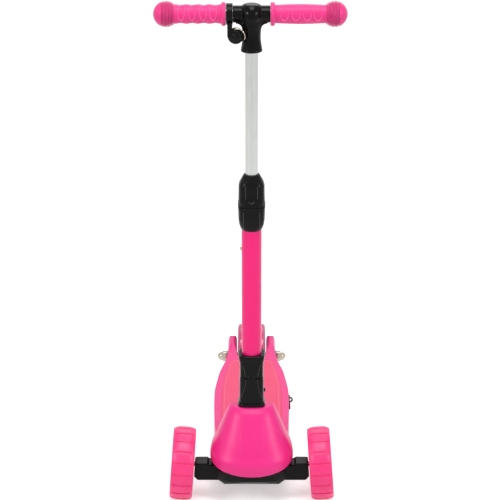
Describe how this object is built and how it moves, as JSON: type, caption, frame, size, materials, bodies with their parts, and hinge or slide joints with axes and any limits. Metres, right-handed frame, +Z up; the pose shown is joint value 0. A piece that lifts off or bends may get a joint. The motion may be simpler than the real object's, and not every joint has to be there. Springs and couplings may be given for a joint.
{
  "type": "kids electric scooter",
  "caption": "Child's lean-to-steer electric kick scooter with paired front wheels, a hub-motor rear wheel, a foot brake fender and a folding, height-adjustable stem.",
  "frame": {"origin": "on the ground, under the middle of the scooter's length and width", "axes": "-Y forwards, +X towards the rider's left hand, +Z up"},
  "size_m": [0.2956, 0.5247, 0.8214],
  "materials": {
    "hot_pink_plastic": "semi-gloss",
    "hot_pink_paint": "gloss",
    "pink_grip_rubber": "matt",
    "coral_grip_mat": "matt, textured",
    "pink_polyurethane": "semi-gloss",
    "pink_wheel_core": "semi-gloss",
    "pale_pink_polyurethane": "semi-gloss, slightly translucent",
    "black_plastic": "satin",
    "black_rubber": "matt",
    "anodised_aluminium": "satin",
    "chrome": "polished",
    "zinc_plated_steel": "satin",
    "copper_winding": "enamelled",
    "battery_wrap": "satin",
    "aluminium_controller_case": "satin",
    "white_plastic": "satin",
    "red_lamp_lens": "polished"
  },
  "bodies": {
    "deck_body": {"deck_shell": "hot_pink_plastic", "deck_base_cover": "black_plastic", "grip_panel": "coral_grip_mat", "battery_pack": "battery_wrap", "motor_controller": "aluminium_controller_case", "front_bonnet": "hot_pink_plastic", "front_tray": "black_plastic", "chassis_bracket": "zinc_plated_steel", "stem_base": "black_plastic", "fold_hinge_pin": "zinc_plated_steel", "pivot_pin": "zinc_plated_steel", "pivot_nut": "zinc_plated_steel", "rear_axle": "zinc_plated_steel", "motor_stator": "copper_winding", "axle_washer_left": "black_plastic", "axle_washer_right": "black_plastic", "axle_nut_left": "chrome", "axle_nut_right": "chrome", "charge_port": "black_plastic", "charge_light": "red_lamp_lens", "fender_pin": "zinc_plated_steel"},
    "steering_beam": {"front_beam": "black_plastic", "front_axle_left": "zinc_plated_steel", "front_axle_right": "zinc_plated_steel", "pivot_bush_upper": "black_rubber", "pivot_bush_lower": "black_rubber"},
    "front_wheel_left": {"front_tyre_left": "pink_polyurethane", "front_hub_left": "pink_wheel_core", "front_bearing_inner_left": "zinc_plated_steel", "front_bearing_outer_left": "zinc_plated_steel"},
    "front_wheel_right": {"front_tyre_right": "pink_polyurethane", "front_hub_right": "pink_wheel_core", "front_bearing_inner_right": "zinc_plated_steel", "front_bearing_outer_right": "zinc_plated_steel"},
    "rear_wheel": {"rear_tyre": "pale_pink_polyurethane", "motor_shell": "zinc_plated_steel", "motor_cover": "zinc_plated_steel", "rear_bearing_left": "zinc_plated_steel", "rear_bearing_right": "zinc_plated_steel"},
    "stem": {"fold_knuckle": "black_plastic", "lower_tube": "hot_pink_paint", "collar_lower": "black_plastic", "guide_bush": "white_plastic"},
    "stem_collar": {"collar_twist": "black_plastic"},
    "height_button": {"snap_button": "chrome"},
    "handlebar": {"upper_tube": "anodised_aluminium", "tee_joint": "black_plastic", "handlebar_tube": "anodised_aluminium", "grip_left": "pink_grip_rubber", "grip_right": "pink_grip_rubber", "bell_clamp": "black_plastic", "bell_dome": "chrome"},
    "bell_thumb_plate": {"bell_lever": "black_plastic"},
    "fold_button": {"fold_release_button": "black_plastic"},
    "power_switch": {"power_button": "black_plastic"},
    "charge_flap": {"charge_cap": "black_rubber"},
    "fender": {"rear_fender": "hot_pink_plastic"}
  },
  "joints": [
    {"name": "lean_steer", "type": "hinge", "parent": "deck_body", "child": "steering_beam", "pos_m": [0, -0.2025, 0.057], "axis": [0, -0.7071, 0.7071], "range_deg": [-7, 7], "stiffness_Nm_per_rad": 150},
    {"name": "front_wheel_left_spin", "type": "hinge", "parent": "steering_beam", "child": "front_wheel_left", "pos_m": [0.1126, -0.2025, 0.06023], "axis": [0.9973, 0, 0.0732], "continuous": true},
    {"name": "front_wheel_right_spin", "type": "hinge", "parent": "steering_beam", "child": "front_wheel_right", "pos_m": [-0.1126, -0.2025, 0.06023], "axis": [-0.9973, 0, 0.0732], "continuous": true},
    {"name": "rear_wheel_spin", "type": "hinge", "parent": "deck_body", "child": "rear_wheel", "pos_m": [0, 0.2095, 0.0528], "axis": [1, 0, 0], "continuous": true},
    {"name": "stem_fold", "type": "hinge", "parent": "deck_body", "child": "stem", "pos_m": [0, -0.14619, 0.20609], "axis": [-1, 0, 0], "range_deg": [0, 87]},
    {"name": "height_slide", "type": "slide", "parent": "stem", "child": "handlebar", "axis": [0, 0.0523, 0.9986], "range_m": [-0.09, 0]},
    {"name": "collar_turn", "type": "hinge", "parent": "stem", "child": "stem_collar", "pos_m": [0, -0.1567, 0.49673], "axis": [0, 0.0523, 0.9986], "range_deg": [0, 60]},
    {"name": "height_button_press", "type": "slide", "parent": "stem", "child": "height_button", "axis": [1, 0, 0], "range_m": [0, 0.002], "stiffness_N_per_m": 300},
    {"name": "bell_lever_push", "type": "hinge", "parent": "handlebar", "child": "bell_thumb_plate", "pos_m": [-0.0257, -0.15685, 0.77082], "axis": [0.4503, 0.8904, 0.0666], "range_deg": [-25, 0], "stiffness_Nm_per_rad": 0.02},
    {"name": "fold_button_press", "type": "slide", "parent": "deck_body", "child": "fold_button", "axis": [-1, 0, 0], "range_m": [0, 0.002], "stiffness_N_per_m": 400},
    {"name": "power_button_press", "type": "slide", "parent": "deck_body", "child": "power_switch", "axis": [-1, 0, 0], "range_m": [0, 0.0012], "stiffness_N_per_m": 400},
    {"name": "charge_cap_open", "type": "hinge", "parent": "deck_body", "child": "charge_flap", "pos_m": [0.06386, 0.007, 0.064], "axis": [0, 0, -1], "range_deg": [0, 95]},
    {"name": "fender_brake", "type": "hinge", "parent": "deck_body", "child": "fender", "pos_m": [0, 0.152, 0.077], "axis": [-1, 0, 0], "range_deg": [0, 3], "stiffness_Nm_per_rad": 4, "springref_deg": -3.44}
  ]
}
